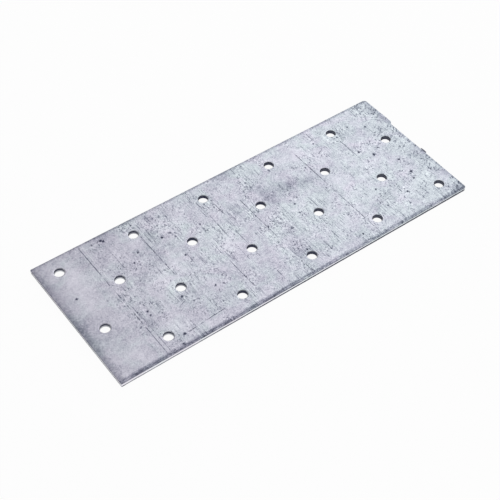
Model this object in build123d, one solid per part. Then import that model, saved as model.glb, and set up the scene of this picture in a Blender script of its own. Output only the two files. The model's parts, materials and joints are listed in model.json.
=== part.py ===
from build123d import *
from math import hypot, radians, tan
import os

# Mending plate, all in one piece: pre-galvanised steel sheet, punched with a staggered grid of nail
# holes, slit along both long edges and cropped to length in a press.
# Millimetres, +Z up, X along the plate, Y across it. The origin is the centre of the hole grid, on
# the underside. The square end is at -X, and the end that took two bites of the shear is at +X.

# Sheet
length = 200.4               # from the square end to the foot of the step
width = 79.3                 # halfway along
thickness = 2.0

# Punched holes: one at every second place of a square grid, which the plate's margins centre
pitch = 20.0
hole_diameter = 5.0          # the punch, and so the bright land inside each hole
hole_columns = round(length / pitch)
hole_rows = round(width / pitch)

# Slit edge at +Y, which isn't quite parallel to the holes
far_flare = 0.7              # what the plate gains in width from the square end to the other

# Cropped end
crop_skew = 0.8              # degrees that the shorter bite leans back
step_height = 1.35           # the longer bite stands out this far
step_run = 2.4               # along Y, from the foot of the step to its head
step_offset = 7.0            # from the row of holes below the step to its foot
tag_height = 1.35            # torn tag, left where the metal broke ahead of the blade
tag_width = 3.8
tag_offset = 3.1             # from the row of holes below the tag to its middle

# Corners seen from above; the one between the square end and the near edge is sharp
far_square_radius = 0.8
near_cropped_radius = 1.5
far_cropped_radius = 1.8
step_radius = 0.9
tag_radius = 0.3

# Section of a sheared edge and of a punched hole, from the top down: the face rolls over into a
# bright land, and below that the metal broke away at an angle
roll_width = 0.5
roll_depth = 0.2
land_depth = 0.6
break_angle = 6.0            # degrees
break_depth = thickness - roll_depth - land_depth
roll_radius = hypot(roll_width, roll_depth) ** 2 / (2 * roll_depth)


def row_y(row):
    """Place of a row of holes across the plate, counted from the near edge."""
    return (row - (hole_rows - 1) / 2) * pitch


def column_x(column):
    """Place of a column of holes along the plate, counted from the square end."""
    return (column - (hole_columns - 1) / 2) * pitch


def short_bite(y, proud=0.0):
    """Point on the shorter bite's cut, or out past it, at a given place across the plate."""
    foot_y = row_y(hole_rows - 2) + step_offset
    return Vector(length / 2 + proud - (foot_y - y) * tan(radians(crop_skew)), y)


def rounded(corners):
    """Face through the given corners, in order, each rounded to the radius beside it."""
    face = make_face(Polyline(*[point for point, radius in corners], close=True))
    for point, radius in corners:
        if radius:
            face = fillet(face.vertices().sort_by_distance(point)[0], radius)
    return face


def plate_outline():
    """Outline of the plate at the land, counter-clockwise from the square end."""
    step_foot = short_bite(row_y(hole_rows - 2) + step_offset)
    step_head = step_foot + Vector(step_height, step_run)
    return rounded(
        [
            (Vector(-length / 2, -width / 2), None),
            (short_bite(-width / 2), near_cropped_radius),
            (step_foot, step_radius),
            (step_head, step_radius),
            (Vector(step_head.X, (width + far_flare) / 2), far_cropped_radius),
            (Vector(-length / 2, (width - far_flare) / 2), far_square_radius),
        ]
    )


def sheared_slab(outline):
    """Slab whose wall drops straight to the end of the land and leans in from there to the underside."""
    land_end = Pos(Z=break_depth) * outline
    return extrude(land_end, thickness - break_depth) + extrude(land_end, -break_depth, taper=break_angle)


def rolled_slab(outline):
    """Slab whose face rolls over at the outline, and runs on down a little way past it."""
    overrun = roll_radius - roll_width
    slab = extrude(offset(outline, overrun, kind=Kind.INTERSECTION), thickness)
    return fillet(slab.faces().sort_by(Axis.Z)[-1].edges(), roll_radius)


def torn_tag():
    """Tag on the shorter bite, which broke off at the height where the land ends."""
    middle = row_y(1) + tag_offset
    low, high = middle - tag_width / 2, middle + tag_width / 2
    outline = rounded(
        [
            (short_bite(low, -tag_height), None),
            (short_bite(low, tag_height), tag_radius),
            (short_bite(high, tag_height), tag_radius),
            (short_bite(high, -tag_height), None),
        ]
    )
    return extrude(outline, break_depth)


def punched_hole():
    """What the punch takes out, as a solid of revolution about Z."""
    land_radius = hole_diameter / 2
    land_top = thickness - roll_depth
    mouth = (land_radius + roll_width, thickness)
    underside_radius = land_radius + break_depth * tan(radians(break_angle))
    section = Polyline((0, thickness), (0, 0), (underside_radius, 0), (land_radius, break_depth), (land_radius, land_top))
    section += TangentArc(mouth, (land_radius, land_top), tangent=(-1, 0))
    section += Line(mouth, (0, thickness))
    return revolve(Plane.XZ * make_face(section), Axis.Z)


def mending_plate():
    """The sheared blank, with its tag and all its holes."""
    outline = plate_outline()
    blank = rolled_slab(outline) & sheared_slab(outline)
    hole = punched_hole()
    holes = [
        Pos(column_x(column), row_y(row)) * hole
        for row in range(hole_rows)
        for column in range(hole_columns)
        if (row + column) % 2
    ]
    return blank + torn_tag() - holes


os.makedirs("parts", exist_ok=True)
export_step(mending_plate(), "parts/mending_plate.step")
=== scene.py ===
import json
from math import cos, exp, hypot, pi, radians, sin, tan

import bpy
from mathutils import Matrix, Vector, noise


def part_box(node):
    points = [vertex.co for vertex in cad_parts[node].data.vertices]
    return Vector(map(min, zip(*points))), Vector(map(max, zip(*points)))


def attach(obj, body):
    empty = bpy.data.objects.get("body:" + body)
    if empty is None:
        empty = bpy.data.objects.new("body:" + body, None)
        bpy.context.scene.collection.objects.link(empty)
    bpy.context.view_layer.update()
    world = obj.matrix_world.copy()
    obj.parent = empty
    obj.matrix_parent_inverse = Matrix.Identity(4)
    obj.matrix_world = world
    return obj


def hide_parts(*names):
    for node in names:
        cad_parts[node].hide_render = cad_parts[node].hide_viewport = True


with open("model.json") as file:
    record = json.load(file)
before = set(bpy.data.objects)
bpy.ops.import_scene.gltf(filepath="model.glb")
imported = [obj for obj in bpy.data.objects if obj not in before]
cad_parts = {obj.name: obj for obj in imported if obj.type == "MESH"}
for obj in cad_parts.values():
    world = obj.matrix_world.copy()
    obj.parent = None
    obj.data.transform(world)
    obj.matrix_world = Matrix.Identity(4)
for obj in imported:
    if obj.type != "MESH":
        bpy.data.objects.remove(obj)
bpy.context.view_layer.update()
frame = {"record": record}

# ---------------------------------------------------------------------------------------------------
# The sheet and its nail holes: hot-dip galvanised steel strip, 2 mm thick, punched from above. The
# punch pulled the face down into each hole, left a smooth land under it, and broke out below that.
# ---------------------------------------------------------------------------------------------------
MM = 0.001
low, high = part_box("mending_plate")
face_height = high.z

# Hole grid, from the four holes nearest the middle of the square half
inner_four = next(m for m in frame["record"]["mounts"] if m["name"] == "square_end_inner_four")
pitch = inner_four["dims"]["spacing_x_mm"] / 2 * MM
land_radius = inner_four["dims"]["hole_r_mm"] * MM
first_hole = Vector(inner_four["pos_m"]).to_2d() - Vector((pitch, pitch))
pair_columns = 5                       # how often the block of two by two tiles is repeated
pair_rows = 2

# Fine square faces, which can carry dents and scratches
facet = 0.5 * MM
tile_facets = round(pitch / facet)
hole_window = 7 * facet                # half the square that is opened round each hole
window_rings = 2                       # of vertices, between the window and the hole
merge_distance = facet / 50
slack = facet / 9                      # allowed for in tests of place
hair = facet / 99                      # and in tests of height, where the levels lie closer together

# Section of a hole
draw_in = 0.01 * MM                    # how far the punch dragged the face down round it
hole_roll = Vector((0.5, 0.2)) * MM    # width and depth
land_end = 1.2 * MM                    # height above the underside, as all heights are
hole_lean = 0.02 * MM                  # how much wider the break is at its foot
roll_steps = 5
break_steps = 3
burr = 0.25 * MM                       # how far the worn punch tore steel into the foot of the last holes
least_burr = 0.3                       # the share of it that the first holes have
burr_start, burr_full = -10 * MM, 50 * MM  # where it starts to grow along the plate, and where it is full


def start_fresh():
    """Back in object mode with nothing selected, so that the next operator meets only its own piece."""
    if bpy.context.mode != "OBJECT":
        bpy.ops.object.mode_set(mode="OBJECT")
    bpy.ops.object.select_all(action="DESELECT")


def pick(piece, kind, wanted):
    """In edit mode, selects the edges or faces of the piece that pass a test, and no others."""
    bpy.ops.mesh.select_mode(type=kind)
    bpy.ops.mesh.select_all(action="DESELECT")
    bpy.ops.object.mode_set(mode="OBJECT")
    elements = {"EDGE": piece.data.edges, "FACE": piece.data.polygons}[kind]
    for element in elements:
        element.select = wanted(element)
    bpy.ops.object.mode_set(mode="EDIT")


def within(value, least, most):
    """The value, or the limit that it has passed."""
    return min(max(value, least), most)


def roll_over(size):
    """Steps down a rolled-over arris, a quarter of an ellipse: how far in and how far down each one is."""
    for step in range(1, roll_steps + 1):
        turn = pi / 2 * step / roll_steps
        yield size.x * (1 - sin(turn)), size.y * (1 - cos(turn))


def flat_tile(name):
    """One square of the hole grid about the origin, at the height of the face."""
    start_fresh()
    bpy.ops.mesh.primitive_grid_add(
        x_subdivisions=tile_facets, y_subdivisions=tile_facets, size=pitch, location=(0, 0, face_height)
    )
    bpy.ops.object.transform_apply(location=True, rotation=True, scale=True)
    bpy.context.object.name = name
    return bpy.context.object


def punch(tile):
    """Opens the tile's middle and draws the punched hole down from it, ring by ring."""
    mouth_radius = land_radius + hole_roll.x
    mouth_height = face_height - draw_in
    bpy.ops.object.mode_set(mode="EDIT")
    pick(tile, "FACE", lambda face: max(abs(face.center.x), abs(face.center.y)) < hole_window)
    bpy.ops.mesh.delete(type="FACE")
    ring_size = round(8 * hole_window / facet)  # the way round the window is eight times half of it
    bpy.ops.mesh.primitive_circle_add(vertices=ring_size, radius=mouth_radius, location=(0, 0, mouth_height))
    vertices = tile.data.vertices

    def round_window(edge):
        return all(max(map(abs, vertices[v].co.to_2d())) < hole_window + slack for v in edge.vertices)

    def on_mouth(edge):
        return all(vertices[v].co.to_2d().length < mouth_radius + slack for v in edge.vertices)

    pick(tile, "EDGE", round_window)
    bpy.ops.mesh.bridge_edge_loops(number_cuts=window_rings, interpolation="LINEAR")
    pick(tile, "EDGE", on_mouth)
    radius, height = mouth_radius, mouth_height
    levels = [(land_radius + inset, mouth_height - drop) for inset, drop in roll_over(hole_roll)]
    for step in range(break_steps + 1):
        down = step / break_steps
        levels.append((land_radius + hole_lean * down, land_end * (1 - down)))
    for next_radius, next_height in levels:
        bpy.ops.mesh.extrude_region_move(TRANSFORM_OT_translate={"value": (0, 0, next_height - height)})
        change = next_radius / radius
        bpy.ops.transform.resize(value=(change, change, 1))
        radius, height = next_radius, next_height
    bpy.ops.object.mode_set(mode="OBJECT")


def place_copy(tile, place):
    """A copy of a tile, with its own mesh, moved to its place in the sheet."""
    start_fresh()
    tile.select_set(True)
    bpy.context.view_layer.objects.active = tile
    bpy.ops.object.duplicate()
    bpy.ops.transform.translate(value=(*place, 0))
    bpy.ops.object.transform_apply(location=True, rotation=True, scale=True)
    return bpy.context.object


# Two plain and two punched tiles make the block that repeats over the whole sheet
plain_tile = flat_tile("plain_tile")
punched_tile = flat_tile("punched_tile")
punch(punched_tile)
one_left, one_up = Vector((-pitch, 0)), Vector((0, pitch))
block = [
    place_copy(punched_tile, first_hole),
    place_copy(plain_tile, first_hole + one_left),
    place_copy(plain_tile, first_hole + one_up),
    place_copy(punched_tile, first_hole + one_left + one_up),
]
start_fresh()
for tile in (plain_tile, punched_tile):
    tile.select_set(True)
bpy.ops.object.delete()
for tile in block:
    tile.select_set(True)
plate = block[0]
bpy.context.view_layer.objects.active = plate
bpy.ops.object.join()
plate.name = "galvanised_plate"
for count, shift in ((pair_columns, (2 * pitch, 0, 0)), (pair_rows, (0, 2 * pitch, 0))):
    bpy.ops.object.modifier_add(type="ARRAY")
    repeat = plate.modifiers[-1]
    repeat.count = count
    repeat.use_relative_offset = False
    repeat.use_constant_offset = True
    repeat.constant_offset_displace = shift
    bpy.ops.object.modifier_apply(modifier=repeat.name)
bpy.ops.object.mode_set(mode="EDIT")
bpy.ops.mesh.select_all(action="SELECT")
bpy.ops.mesh.remove_doubles(threshold=merge_distance)
bpy.ops.object.mode_set(mode="OBJECT")

# A burr narrows the foot of the holes, and grows towards the cropped end
for vertex in plate.data.vertices:
    drop = 1 - vertex.co.z / land_end
    if drop > 0:
        steps = (vertex.co.to_2d() - first_hole) / pitch
        centre = first_hole + Vector((round(steps.x), round(steps.y))) * pitch
        wear = within((centre.x - burr_start) / (burr_full - burr_start), least_burr, 1)
        out = vertex.co.to_2d() - centre
        out *= 1 - burr * wear * drop / out.length
        vertex.co.x, vertex.co.y = centre + out

# ---------------------------------------------------------------------------------------------------
# The cut edges: both long edges were slit and the ends cropped in a press, one of them in two bites
# that don't meet. The face rolls over into a bright land of smeared zinc, above a rough break-out.
# ---------------------------------------------------------------------------------------------------
# Section: how far in and how far down each step of the roll-over is, in millimetres, and below it the
# height and inset of every level
edge_roll = [(1.9, 0), (1.45, 0.02), (1.0, 0.05), (0.6, 0.09), (0.28, 0.13), (0.06, 0.17), (0, 0.22)]
section = [(face_height - down * MM, inset * MM) for inset, down in edge_roll]
section += [(land_end * (1 - step / break_steps), 0) for step in range(break_steps + 1)]
square_end_widening = 1.8              # the square end was dragged down over a wider band

# Outline
trim = 4 * facet                       # the outer rows of faces, which give way to the cut
stretch = 4 * MM                       # the outermost part of the rest, which is fitted to the outline
rim = Vector((pair_columns, pair_rows)) * pitch - Vector((trim, trim))
inner = rim - Vector((stretch, stretch))
far_flare = 0.7 * MM                   # what the plate gains in width from the square end to the other
crop_skew = radians(0.8)               # how far the shorter bite leans back
step_foot = first_hole.y + 2 * pitch + 7 * MM
step_run = 2.4 * MM
step_height = 1.35 * MM
least_radius = 0.15 * MM
corner_radii = {(-1, -1): 0, (-1, 1): 0.8 * MM, (1, -1): 1.5 * MM, (1, 1): 1.8 * MM}  # by signs of x and y

# Break-out
slit_lean = 0.02 * MM                  # how far its foot lies inside the land
square_end_lean = 0.1 * MM
cropped_lean = 0.22 * MM
near_land_ends = (0.7 * MM, 1.3 * MM)  # height where the land ends on the near edge, at its two ends
land_blend = 1.5 * MM                  # how much of the ends beside that edge takes up the difference
land_waves = [(7 * MM, 0.096 * MM), (2 * MM, 0.08 * MM)]  # length and height, as its line wanders
tear_depth = 0.025 * MM
tear_waves = [(0.7 * MM, 0.04 * MM)]

# Torn tag on the shorter bite
tag_height = 1.35 * MM
tag_width = 3.8 * MM
tag_middle = first_hole.y + pitch + 3.1 * MM
tag_taper = (0.6, 0.86, 1)             # its end is flatter and narrower than its root

GALVANISED, BARE = 0, 1                # material slots


def at_rim(place):
    """Whether a place lies out where the faces give way to the cut."""
    return abs(place.x) > rim.x - slack or abs(place.y) > rim.y - slack


def inset_at(height):
    """How far inside the outline the section lies at a height."""
    for (upper, upper_inset), (lower, lower_inset) in zip(section, section[1:]):
        if height >= lower - hair:
            share = within((upper - height) / (upper - lower), 0, 1)
            return upper_inset + (lower_inset - upper_inset) * share
    return 0


def cropped_end(y):
    """Where the end that was cropped in two bites lies, at a place across the plate."""
    foot_x = high.x - step_height
    if y < step_foot:
        return foot_x - (step_foot - y) * tan(crop_skew)
    rise = min((y - step_foot) / step_run, 1)
    return foot_x + step_height * (3 - 2 * rise) * rise * rise


def far_edge(x):
    """Where the far edge lies, at a place along the plate."""
    return high.y - far_flare * (high.x - x) / (high.x - low.x)


def waves(place, sizes):
    """A smooth random rise or fall at a place, the sum of waves that each have a length and a height."""
    return sum(height * noise.noise(place / length) for length, height in sizes)


# The outer rows of faces give way to the cut, drawn straight down first
bpy.ops.object.mode_set(mode="EDIT")
pick(plate, "FACE", lambda face: abs(face.center.x) > rim.x or abs(face.center.y) > rim.y)
bpy.ops.mesh.delete(type="FACE")
vertices = plate.data.vertices
pick(plate, "EDGE", lambda edge: all(at_rim(vertices[v].co) for v in edge.vertices))
heights = [height for height, inset in section]
for height, next_height in zip(heights, heights[1:]):
    bpy.ops.mesh.extrude_region_move(TRANSFORM_OT_translate={"value": (0, 0, next_height - height)})
bpy.ops.object.mode_set(mode="OBJECT")

# Below the lands, and all through the holes, the steel is bare
for face in plate.data.polygons:
    bare_below = land_end if at_rim(face.center) else face_height - draw_in - hole_roll.y
    face.material_index = BARE if face.center.z < bare_below else GALVANISED

# Then the outermost part of the grid is stretched to the outline, less the inset of the section, and
# its corners are drawn in to their arcs
for vertex in plate.data.vertices:
    x, y, z = vertex.co
    over = Vector((max(abs(x) - inner.x, 0), max(abs(y) - inner.y, 0))) / stretch
    if not (over.x or over.y):
        continue
    side = (1 if x > 0 else -1, 1 if y > 0 else -1)
    inset = inset_at(z)
    foot = max(1 - z / land_end, 0)
    widening, end_lean = (1, cropped_lean) if x > 0 else (square_end_widening, square_end_lean)
    inset_x = inset * widening + end_lean * foot
    inset_y = inset + slit_lean * foot
    if over.y:
        outline_y = far_edge(x) if y > 0 else -low.y
        y = side[1] * (inner.y + (outline_y - inset_y - inner.y) * over.y)
    if over.x:
        outline_x = cropped_end(y) if x > 0 else -low.x
        x = side[0] * (inner.x + (outline_x - inset_x - inner.x) * over.x)
    if over.x and over.y:
        radius = max(corner_radii[side] - max(inset_x, inset_y), least_radius)
        centre = Vector((side[0] * (outline_x - inset_x - radius), side[1] * (outline_y - inset_y - radius)))
        past = Vector((max(side[0] * (x - centre.x), 0), max(side[1] * (y - centre.y), 0)))
        if past.x and past.y:
            past *= max(past) / past.length
            x, y = centre.x + side[0] * past.x, centre.y + side[1] * past.y
    vertex.co.x, vertex.co.y = x, y

# The break-out starts along a wandering line, which drops towards the square end on the near edge. Its
# steel is torn, more and more in the upper half and fully below that.
for vertex in plate.data.vertices:
    x, y, z = vertex.co
    if z < land_end + slack and (abs(x) > inner.x or abs(y) > inner.y):
        share = (x - low.x) / (high.x - low.x)
        near_land_end = near_land_ends[0] + (near_land_ends[1] - near_land_ends[0]) * share
        near = max(1 - (y - low.y) / land_blend, 0)
        local_end = land_end + (near_land_end - land_end) * near + waves(vertex.co, land_waves)
        vertex.co.z *= local_end / land_end
        torn = (tear_depth + waves(vertex.co, tear_waves)) * min(1, 2 * (1 - z / land_end))
        if abs(x) > inner.x + stretch / 2:
            vertex.co.x -= torn * x / abs(x)
        if abs(y) > inner.y + stretch / 2:
            vertex.co.y -= torn * y / abs(y)


def under_tag(face):
    """Whether a face is in the break where the tag stands out of it."""
    x, y, z = face.center
    return x > rim.x and z < land_end - slack and abs(y - tag_middle) < tag_width / 2


# The tag stands out of the break
bpy.ops.object.mode_set(mode="EDIT")
pick(plate, "FACE", under_tag)
bpy.ops.mesh.extrude_region_move(TRANSFORM_OT_translate={"value": (tag_height, 0, 0)})
bpy.ops.transform.resize(value=tag_taper)

# The underside closes the plate between the outline and the holes
bpy.ops.mesh.select_mode(type="EDGE")
bpy.ops.mesh.select_all(action="DESELECT")
bpy.ops.mesh.select_non_manifold(
    use_wire=False, use_boundary=True, use_multi_face=False, use_non_contiguous=False, use_verts=False
)
bpy.ops.mesh.fill(use_beauty=True)
bpy.ops.mesh.select_all(action="SELECT")
bpy.ops.mesh.normals_make_consistent(inside=False)
bpy.ops.object.mode_set(mode="OBJECT")

# It is galvanised as the face is, and the tag is as bare as the break
for face in plate.data.polygons:
    x, y, z = face.center
    if z < hair:
        face.material_index = GALVANISED
    elif x > high.x - step_height + slack and abs(y - tag_middle) < tag_width:
        face.material_index = BARE

# ---------------------------------------------------------------------------------------------------
# Marks and finish: scratches, pits and cloudy patches in the zinc, most of them across the strip,
# where it was dragged over others in the stack. Each scratch is a shallow groove, broken up where the
# pressure was light. A patch is only duller or brighter than the rest.
# ---------------------------------------------------------------------------------------------------
scratch_depth = 0.03 * MM
scratch_width = 0.5 * MM
scratch_band = 2 * facet               # how far out from a scratch the faces are cut along it
scratch_fade = 4 * facet               # over which it comes in at each end
usual_bite, least_bite = 0.75, 0.15    # how much of its depth a scratch keeps, and the least
bite_waves = [(1.6 * MM, 1.1), (6 * MM, 0.66)]  # length, and how much the bite gains or loses
pit_reach = 1.2                        # how far a pit fades out, beside half its width
pit_steepness = 1.5
face_bottom = face_height - draw_in / 3  # what lies lower isn't the flat face

# Ends of each scratch in millimetres, and how hard it was pressed. A rub that left the zinc brighter
# has a value below 0.
scratches = [
    ((-75.4, 38.5), (-75.5, 8.0), 1.0),
    ((-75.4, 8.0), (-75.3, -10.0), 0.6),
    ((-75.3, -10.0), (-75.4, -38.5), 0.8),
    ((-73.6, 38.5), (-73.6, 12.0), -0.9),
    ((-73.6, -14.0), (-73.5, -38.0), 0.6),
    ((-48.0, 38.5), (-48.0, -3.0), 0.8),
    ((-30.9, 38.0), (-31.2, 15.0), 0.4),
    ((-23.1, 6.0), (-22.5, -34.6), 0.5),
    ((-13.7, 20.4), (-14.4, 2.3), 0.9),
    ((-14.5, 2.0), (-14.9, -16.5), 0.5),
    ((-7.5, 28.6), (-7.5, 14.8), 0.8),
    ((-9.4, 5.0), (-9.8, -18.0), 0.4),
    ((-8.7, -26.5), (-8.8, -36.5), 0.5),
    ((4.0, 19.0), (4.1, -12.8), 0.8),
    ((4.3, -31.0), (4.3, -38.0), 0.6),
    ((45.4, 30.4), (45.4, -37.8), 0.7),
    ((59.4, 38.5), (59.4, 29.0), 0.6),
    ((58.8, 3.0), (58.8, -3.5), 0.5),
    ((61.6, 25.0), (61.6, 20.0), 0.5),
    ((70.3, 23.5), (70.3, 5.4), 0.8),
    ((72.2, 3.5), (72.3, -2.0), 0.5),
    ((77.6, -12.0), (77.6, -32.0), 0.4),
    ((66.7, -26.5), (66.7, -37.0), 0.5),
    ((-64.6, 28.0), (-64.4, 14.0), 0.4),
    ((-36.4, 8.0), (-36.6, -2.0), 0.5),
    ((-61.0, -33.2), (-40.4, -31.8), 0.8),
    ((-58.0, -20.0), (-51.5, -17.0), 0.5),
]

# Middle of each pit and how wide it is, in millimetres
pits = [
    ((-63.5, -33.2), 1.4),
    ((-40.1, 20.4), 1.3),
    ((-54.4, 19.1), 1.0),
    ((-59.1, 14.6), 1.0),
    ((-64.6, 35.6), 1.4),
    ((-63.7, 34.6), 1.2),
    ((-69.8, -13.0), 1.0),
    ((-69.9, -15.6), 1.0),
    ((-52.6, -15.0), 1.2),
    ((-66.9, -37.4), 1.0),
    ((-91.6, 11.6), 1.2),
    ((-37.2, 4.8), 1.0),
    ((-36.6, -18.4), 1.0),
    ((6.9, 7.9), 1.0),
    ((24.0, 1.0), 1.0),
    ((-20.6, 17.0), 0.9),
    ((26.9, -10.9), 0.9),
    ((10.6, -25.9), 0.9),
    ((72.6, 10.6), 1.2),
    ((77.8, 4.9), 1.5),
    ((85.7, -5.2), 1.2),
    ((84.8, -15.3), 1.5),
    ((82.6, -19.6), 1.1),
    ((87.6, 23.5), 1.1),
    ((80.0, 28.8), 1.0),
    ((62.2, -14.6), 1.0),
    ((73.8, -24.8), 1.0),
    ((57.9, 29.2), 0.9),
    ((37.9, -33.7), 0.9),
]

# Middle and half-widths of each cloudy patch in millimetres, and how much duller than the rest it is,
# or brighter where the value is below 0
patches = [
    ((28, 13), (8, 4), 0.9),
    ((17, 12), (4, 6), 0.9),
    ((12, 20), (6, 4), 0.6),
    ((39, 10), (6, 3), 0.5),
    ((-2, 12), (5, 6), 0.5),
    ((56, 10), (4, 3), 0.5),
    ((-48, 12), (3, 7), 0.6),
    ((-61, 5), (4, 4), 0.4),
    ((-74, -18), (7, 7), 0.5),
    ((8, -25), (5, 9), 0.7),
    ((13, -12), (6, 6), 0.4),
    ((-90, -16), (9, 6), 0.3),
    ((-99, -3), (4, 9), 0.5),
    ((-99, 29), (4, 8), 0.35),
    ((-64, 37), (6, 4), 0.7),
    ((-50, 38), (5, 3), 0.5),
    ((4, 38), (7, 4), 0.5),
    ((98, -6), (5, 4), 0.5),
    ((98, -15), (4, 3), 0.5),
    ((98, -24), (4, 4), 0.7),
    ((95, -37), (7, 4), 0.9),
    ((97, 10), (5, 3), 0.5),
    ((99, 25), (4, 6), 0.6),
    ((54, -23), (4, 4), 0.5),
    ((37, -35), (4, 4), 0.4),
    ((-79, 30), (4, 10), 0.4),
    ((-86, 24), (6, 9), -0.9),
    ((-88, 8), (5, 9), -0.4),
    ((-88, -31), (7, 6), -0.4),
    ((-52, -3), (6, 7), -0.8),
    ((-43, 1), (4, 5), -0.4),
    ((-65, -26), (8, 5), -0.6),
    ((50, 30), (5, 7), -0.6),
    ((-17, -2), (9, 7), -0.4),
    ((-32, 25), (6, 4), -0.5),
    ((18, 31), (5, 6), -0.3),
]


def per_vertex(piece, name):
    """Values kept on the piece's vertices under a name, which its finish reads."""
    if name not in piece.data.attributes:
        piece.data.attributes.new(name, "FLOAT", "POINT")
    return piece.data.attributes[name].data


# Each scratch is cut into the faces it crosses as three lines, two edges and a bottom between them
for start_mm, end_mm, press in scratches:
    start, end = Vector(start_mm) * MM, Vector(end_mm) * MM
    along = (end - start).normalized()
    across = Vector((-along.y, along.x))
    length = (end - start).length
    band = Vector((scratch_band, scratch_band))
    least, most = Vector(map(min, start, end)) - band, Vector(map(max, start, end)) + band

    def crossed(face):
        x, y, z = face.center
        if z < face_bottom or not (least.x < x < most.x and least.y < y < most.y):
            return False
        return abs((Vector((x, y)) - start).dot(across)) < scratch_band

    bpy.ops.object.mode_set(mode="EDIT")
    pick(plate, "FACE", crossed)
    bpy.ops.mesh.hide(unselected=True)
    for offset in (-scratch_width / 2, scratch_width / 2, 0):
        bpy.ops.mesh.select_all(action="SELECT")
        place = start + across * offset
        bpy.ops.mesh.bisect(plane_co=(*place, face_height), plane_no=(*across, 0))
    bpy.ops.object.mode_set(mode="OBJECT")
    depths = per_vertex(plate, "marks")
    for vertex in plate.data.vertices:
        if vertex.select:
            reached = (vertex.co.to_2d() - start).dot(along)
            ends = within(min(reached, length - reached) / scratch_fade, 0, 1)
            bite = within(usual_bite + waves(vertex.co, bite_waves), least_bite, 1)
            depths[vertex.index].value = press * ends * bite
    bpy.ops.object.mode_set(mode="EDIT")
    bpy.ops.mesh.reveal(select=False)
    bpy.ops.object.mode_set(mode="OBJECT")

# The pits join them, and both are pressed into the face
depths = per_vertex(plate, "marks")
for vertex in plate.data.vertices:
    if vertex.co.z < face_bottom:
        continue
    depth = depths[vertex.index]
    for middle, width in pits:
        away = hypot(vertex.co.x - middle[0] * MM, vertex.co.y - middle[1] * MM) / (width / 2 * MM)
        if away < pit_reach:
            depth.value = max(depth.value, min(1, pit_steepness * (pit_reach - away)))
    vertex.co.z -= scratch_depth * abs(depth.value)


def dullness_at(x, y):
    """How dull the zinc is at a place in millimetres. Each patch dies away round its middle."""
    total = 0
    for (middle_x, middle_y), (half_x, half_y), dull in patches:
        total += dull * exp(-(((x - middle_x) / half_x) ** 2) - ((y - middle_y) / half_y) ** 2)
    return total


dullness = per_vertex(plate, "dullness")
for vertex in plate.data.vertices:
    dullness[vertex.index].value = dullness_at(vertex.co.x / MM, vertex.co.y / MM)


def linear(hex_colour):
    """Linear colour, with alpha, of an sRGB hex value."""
    channels = [int(hex_colour[i:i + 2], 16) / 255 for i in (1, 3, 5)]
    return (*[c / 12.92 if c <= 0.04045 else ((c + 0.055) / 1.055) ** 2.4 for c in channels], 1)


def new_material(name):
    """An empty material with its node tree."""
    material = bpy.data.materials.new(name)
    material.use_nodes = True
    material.node_tree.nodes.clear()
    return material


def add_node(material, kind, inputs=None, **settings):
    """Adds a shader node with its settings. Each input gets a value, or a link from another node's output,
    which is its first one unless it is named."""
    tree = material.node_tree
    node = tree.nodes.new("ShaderNode" + kind)
    for name, value in settings.items():
        setattr(node, name, value)
    for socket, value in (inputs or {}).items():
        if isinstance(value, bpy.types.Node):
            value = value.outputs[0]
        if isinstance(value, bpy.types.NodeSocket):
            tree.links.new(value, node.inputs[socket])
        else:
            node.inputs[socket].default_value = value
    return node


def place_in_mm(material):
    """Where a point lies on its piece in millimetres: the whole vector, then x, y and z."""
    site = add_node(material, "TexCoord")
    in_mm = add_node(material, "Mapping", {"Vector": site.outputs["Object"], "Scale": [1 / MM] * 3})
    return (in_mm, *add_node(material, "SeparateXYZ", {"Vector": in_mm}).outputs)


def add_places(material, total, places):
    """Adds to a running number what lies at given places. Each place multiplies its windows together, and
    has a weight. A window is a value, where it starts and is full, and how strong it is at those two ends."""
    for windows, weight in places:
        strength = 1
        for value, start, full, least, most in windows:
            window = add_node(
                material,
                "MapRange",
                {"Value": value, "From Min": start, "From Max": full, "To Min": least, "To Max": most},
                interpolation_type="SMOOTHSTEP",
            )
            strength = add_node(material, "Math", {0: window, 1: strength}, operation="MULTIPLY")
        total = add_node(material, "Math", {0: strength, 1: weight, 2: total}, operation="MULTIPLY_ADD")
    return total


# Hot-dip galvanised strip: steel run through molten zinc, wiped thin and rolled dull, then left in
# stock. The eye gets a pale blue-grey sheen that is softly clouded, with small dark specks and rubs
# in clusters where the zinc oxidised, and hardly any spangle. One number, the tone, runs from the
# darkest oxide at 0 to the brightest zinc at 1, and every pattern adds to it or takes away.
galvanised = new_material("hot_dip_galvanised_strip")
in_mm, along_x, along_y, along_z = place_in_mm(galvanised)
tone = 0.5

# Clouds, patches and mottle, down to the grain of the rolled zinc. The real grain is a few hundredths
# of a millimetre, too fine to show, so the last two are drawn coarser. Size in mm, detail, weight.
for size, detail, weight in [(18, 2, 0.12), (6, 2, 0.17), (2.2, 2, 0.18), (0.9, 2, 0.28), (0.42, 1, 0.48)]:
    clouds = add_node(
        galvanised,
        "TexNoise",
        {"Vector": in_mm, "Scale": 1 / size, "Detail": detail, "Roughness": 0.55, "Distortion": 0.3},
    )
    centred = add_node(galvanised, "Math", {0: clouds, 1: 0.5}, operation="SUBTRACT")
    tone = add_node(galvanised, "Math", {0: centred, 1: weight, 2: tone}, operation="MULTIPLY_ADD")

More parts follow.
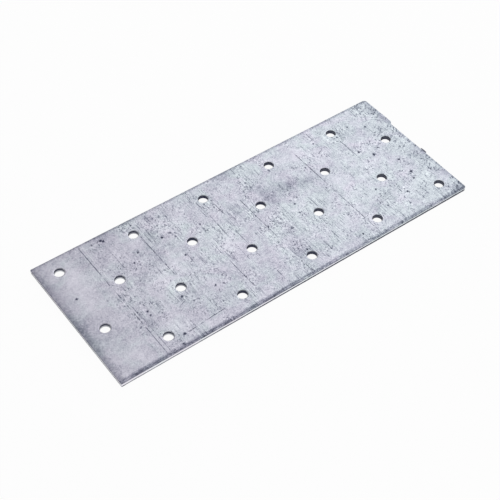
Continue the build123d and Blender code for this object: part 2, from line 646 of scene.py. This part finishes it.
# Specks and rubs, which come in clusters and stay off the square end. Length, width and heading of one
# in mm and degrees, noise level where it starts and is full, size of a cluster in mm, level where the
# cluster starts and is full, weight.
calm_until, busy_from = -84, -74       # in mm along the plate
calm_share = 0.15
calm = add_node(
    galvanised,
    "MapRange",
    {"Value": along_x, "From Min": calm_until, "From Max": busy_from, "To Min": calm_share},
    interpolation_type="SMOOTHSTEP",
)
clusters = [
    (1.1, 0.85, 90, 0.6, 0.7, 8, 0.46, 0.62, -0.3),    # oxide specks
    (1.1, 0.85, 90, 0.44, 0.34, 8, 0.46, 0.62, 0.12),  # bright zinc round them
    (0.8, 0.5, 90, 0.58, 0.7, 5, 0.5, 0.62, -0.3),     # finer specks
    (7.5, 0.45, 90, 0.58, 0.72, 11, 0.44, 0.6, -0.2),  # rubs across the strip
    (7.5, 0.45, 90, 0.42, 0.28, 11, 0.44, 0.6, 0.12),  # bright rubs beside them
    (1.3, 0.6, 45, 0.58, 0.7, 9, 0.52, 0.64, -0.2),    # slanting nicks
]
relief = 0
for length, width, heading, start, full, spread, cluster_start, cluster_full, weight in clusters:
    laid = add_node(
        galvanised,
        "Mapping",
        {"Vector": in_mm, "Rotation": (0, 0, radians(heading)), "Scale": (length, width, width)},
        vector_type="TEXTURE",
    )
    pattern = add_node(galvanised, "TexNoise", {"Vector": laid, "Scale": 1, "Detail": 1, "Distortion": 0.4})
    mark = add_node(
        galvanised,
        "MapRange",
        {"Value": pattern, "From Min": start, "From Max": full},
        interpolation_type="SMOOTHSTEP",
    )
    cloud = add_node(galvanised, "TexNoise", {"Vector": in_mm, "Scale": 1 / spread, "Detail": 2})
    cluster = add_node(
        galvanised,
        "MapRange",
        {"Value": cloud, "From Min": cluster_start, "From Max": cluster_full},
        interpolation_type="SMOOTHSTEP",
    )
    for limit in (cluster, calm):
        mark = add_node(galvanised, "Math", {0: mark, 1: limit}, operation="MULTIPLY")
    tone = add_node(galvanised, "Math", {0: mark, 1: weight, 2: tone}, operation="MULTIPLY_ADD")
    relief = add_node(galvanised, "Math", {0: mark, 1: weight, 2: relief}, operation="MULTIPLY_ADD")

# Streaks that break up the painted shade along the near edge, and smears that slant over the cropped end.
# Length and width in mm, and heading in degrees.
streak = (6, 0.7, 0.7)
smear = (2.6, 0.8, 0.8)
smear_heading = 40
along_edge = add_node(galvanised, "Mapping", {"Vector": in_mm, "Scale": streak}, vector_type="TEXTURE")
# Noise that breaks the painted shade along the near edge into streaks
shade_streaks = add_node(galvanised, "TexNoise", {"Vector": along_edge, "Scale": 1, "Detail": 3, "Roughness": 0.6})
slanting = add_node(
    galvanised,
    "Mapping",
    {"Vector": in_mm, "Rotation": (0, 0, radians(smear_heading)), "Scale": smear},
    vector_type="TEXTURE",
)
smears = add_node(galvanised, "TexNoise", {"Vector": slanting, "Scale": 1, "Detail": 2})
places = [
    # Painted shade along the rolled-over near edge, a painted dark reflection where the face turns down, in
    # streaks
    (
        [
            (along_y, -36.9, -38.7, 0, 1),
            (along_z, 1.7, 1.84, 0, 1),
            (along_x, -98, -90, 0.45, 1),
            (along_x, -30, 30, 1, 0.66),
            (shade_streaks, 0.34, 0.62, 0.45, 1.1),
        ],
        -0.31,
    ),
    # The land, where the slitting blades burnished the zinc
    ([(along_z, 0.1, 0.4, 0, 1), (along_z, 1.84, 1.74, 0, 1), (along_x, -60, 60, 1, 0.6)], 0.62),
    # Smears that the cropping press dragged over its end
    ([(along_x, 84, 99, 0, 1), (smears, 0.56, 0.7, 0, 1)], -0.3),
    # The rolled-over edges turn darker
    # Painted shade on the rolled-over edges at both ends and along the far edge, where they turn down
    ([(along_x, -96, -99.4, 0, 1)], -0.09),
    ([(along_x, 97.5, 99.5, 0, 1)], -0.08),
    ([(along_y, 37.7, 39.2, 0, 1)], -0.12),
]
tone = add_places(galvanised, tone, places)

# The dull patches, the scratches and the pits come from the values on the vertices
dull_there = add_node(galvanised, "Attribute", attribute_name="dullness").outputs["Fac"]
marks_there = add_node(galvanised, "Attribute", attribute_name="marks").outputs["Fac"]
dark = add_node(galvanised, "Math", {0: marks_there, 1: 0}, operation="MAXIMUM")
light = add_node(galvanised, "Math", {0: marks_there, 1: 0}, operation="MINIMUM")
for value, weight in [(dull_there, -0.12), (dark, -0.7), (light, -0.35)]:
    tone = add_node(galvanised, "Math", {0: value, 1: weight, 2: tone}, operation="MULTIPLY_ADD")

# Thin oxide films tint the zinc lilac, blue and green in turn, from lilac at the square end onwards
film_size = 11                         # in mm
film_drift = 0.0012                    # for each mm along the plate
films = add_node(
    galvanised,
    "TexNoise",
    {"Vector": in_mm, "Scale": 1 / film_size, "Detail": 2, "Roughness": 0.6, "Distortion": 0.5},
)
drifted = add_node(galvanised, "Math", {0: along_x, 1: film_drift, 2: films}, operation="MULTIPLY_ADD")

# Both numbers turn into colours, and the film lies over the zinc
zinc_colours = [
    (0, "#4e5264"),
    (0.25, "#8e92a1"),
    (0.4, "#b2b5c1"),
    (0.5, "#c7cad2"),
    (0.6, "#d2d5dc"),
    (0.75, "#e1e4e9"),
    (1, "#f0f2f5"),
]
film_colours = [(0.34, "#fffaff"), (0.5, "#fdfdff"), (0.66, "#fafffd")]
zinc = add_node(galvanised, "ValToRGB", {"Fac": tone})
film = add_node(galvanised, "ValToRGB", {"Fac": drifted})
for ramp, colours in ((zinc, zinc_colours), (film, film_colours)):
    stops = ramp.color_ramp.elements
    while len(stops) < len(colours):
        stops.new(0.5)
    for stop, (position, colour) in zip(stops, colours):
        stop.position = position
        stop.color = linear(colour)
factor, colour_a, colour_b, mixed_colour = 0, 6, 7, 2  # sockets of a Mix node, which share their names
tinted = add_node(
    galvanised,
    "Mix",
    {factor: 1, colour_a: zinc, colour_b: film},
    data_type="RGBA",
    blend_type="MULTIPLY",
).outputs[mixed_colour]

# Oxide is rougher than bright zinc, and the marks have a little depth
oxide_tone, bright_tone = 0.1, 0.7
oxide_roughness, bright_roughness = 0.62, 0.42
relief_depth = 0.05 * MM
roughness = add_node(
    galvanised,
    "MapRange",
    {
        "Value": tone,
        "From Min": oxide_tone,
        "From Max": bright_tone,
        "To Min": oxide_roughness,
        "To Max": bright_roughness,
    },
    interpolation_type="SMOOTHSTEP",
)
bump = add_node(galvanised, "Bump", {"Strength": 1, "Distance": relief_depth, "Height": relief})
shader = add_node(
    galvanised,
    "BsdfPrincipled",
    {"Base Color": tinted, "Metallic": 1, "Roughness": roughness, "Normal": bump},
)
add_node(galvanised, "OutputMaterial", {"Surface": shader})

# Mild steel, bare where it was sheared: a dark blue-grey break, partly the rough steel's own colour and
# partly painted shade inside the holes and at the foot of the edges, with a little zinc smeared down it
# towards the square end and a paler land in the last holes.
bare = new_material("sheared_mild_steel")
in_mm, along_x, along_y, along_z = place_in_mm(bare)
places = [
    (
        [
            (along_z, 1.1, 0.5, 0, 1),
            (along_x, -30, -65, 0, 1),
            (along_x, -99, -96, 0, 1),
            (along_y, -37, -36, 0.5, 1),
        ],
        0.6,
    ),
    ([(along_z, 0.5, 0.8, 0, 1), (along_z, 1.3, 1.1, 0, 1), (along_x, 10, 60, 0, 1)], 0.12),
]
paleness = add_places(bare, 0, places)
steel = add_node(bare, "ValToRGB", {"Fac": paleness})
# The dark end of the ramp is partly painted shade, darker than bare steel is
for stop, colour in zip(steel.color_ramp.elements, ("#3c3f52", "#e4e6ea")):
    stop.color = linear(colour)
shader = add_node(bare, "BsdfPrincipled", {"Base Color": steel, "Metallic": 1, "Roughness": 0.5})
add_node(bare, "OutputMaterial", {"Surface": shader})

start_fresh()
bpy.context.view_layer.objects.active = plate
plate.select_set(True)
bpy.ops.object.shade_smooth_by_angle(angle=radians(30))
plate.data.materials.append(galvanised)
plate.data.materials.append(bare)
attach(plate, "root")
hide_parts("mending_plate")

# ---------------------------------------------------------------------------------------------------
# Floor: matt white studio paper, which the plate lies on. To the camera, and in reflections, it glows
# a plain white of its own, and what is left over keeps the plate's shadow.
# ---------------------------------------------------------------------------------------------------
floor_size = 6
floor_drop = 0.2 * MM
own_white = 0.96                       # how much of what is seen glows
start_fresh()
bpy.ops.mesh.primitive_plane_add(size=floor_size, location=(0, 0, -floor_drop))
bpy.ops.object.transform_apply(location=True, rotation=True, scale=True)
floor = bpy.context.object
floor.name = "floor"
paper = new_material("matt_white_studio_paper")
paths = add_node(paper, "LightPath").outputs
seen = paths["Is Camera Ray"]
for path in ("Is Glossy Ray", "Is Transmission Ray"):
    seen = add_node(paper, "Math", {0: seen, 1: paths[path]}, operation="MAXIMUM")
share = add_node(paper, "Math", {0: seen, 1: own_white}, operation="MULTIPLY")
matt = add_node(paper, "BsdfDiffuse", {"Color": linear("#f4f4f4")})
glow = add_node(paper, "Emission", {"Color": linear("#ffffff"), "Strength": 1})
both = add_node(paper, "MixShader", {0: share, 1: matt, 2: glow})
add_node(paper, "OutputMaterial", {"Surface": both})
floor.data.materials.append(paper)

# ---------------------------------------------------------------------------------------------------
# Light: one large softbox behind the plate and to its right, whose reflection brightens the face
# towards the cropped end, in an even white room.
# ---------------------------------------------------------------------------------------------------
azimuth, elevation = radians(66), radians(38)  # from +Y towards +X, and up from the floor
distance = 1.5
width, height = 2.2, 2.0
radiance = 1.14                        # how bright its face is beside plain white
room_brightness = 0.36
towards = Vector((sin(azimuth) * cos(elevation), cos(azimuth) * cos(elevation), sin(elevation)))
start_fresh()
bpy.ops.object.light_add(
    type="AREA", location=towards * distance, rotation=towards.to_track_quat("Z", "Y").to_euler()
)
softbox = bpy.context.object
softbox.name = "softbox"
softbox.data.shape = "RECTANGLE"
softbox.data.size = width
softbox.data.size_y = height
softbox.data.energy = radiance * pi * width * height

room = bpy.data.worlds.new("white_room")
bpy.context.scene.world = room
room.use_nodes = True
background = room.node_tree.nodes["Background"]
background.inputs["Color"].default_value = linear("#ffffff")
background.inputs["Strength"].default_value = room_brightness

# ---------------------------------------------------------------------------------------------------
# Camera: over the square end's near corner, looking down and along the plate, so that the cropped end
# lies away from it at the upper right.
# ---------------------------------------------------------------------------------------------------
view_right = Vector((0.80459, -0.59381, 0.00464))
view_up = Vector((0.43885, 0.59985, 0.66902))
lens, sensor_width = 80.14, 36         # in mm
turned = Matrix((view_right, view_up, view_right.cross(view_up))).transposed().to_4x4()
place = Vector((-218.88, -288.56, 387.5)) * MM
start_fresh()
bpy.ops.object.camera_add()
camera = bpy.context.object
camera.matrix_world = Matrix.Translation(place) @ turned
camera.data.lens = lens
camera.data.sensor_width = sensor_width
bpy.context.scene.camera = camera
bpy.context.scene.view_settings.view_transform = "Standard"
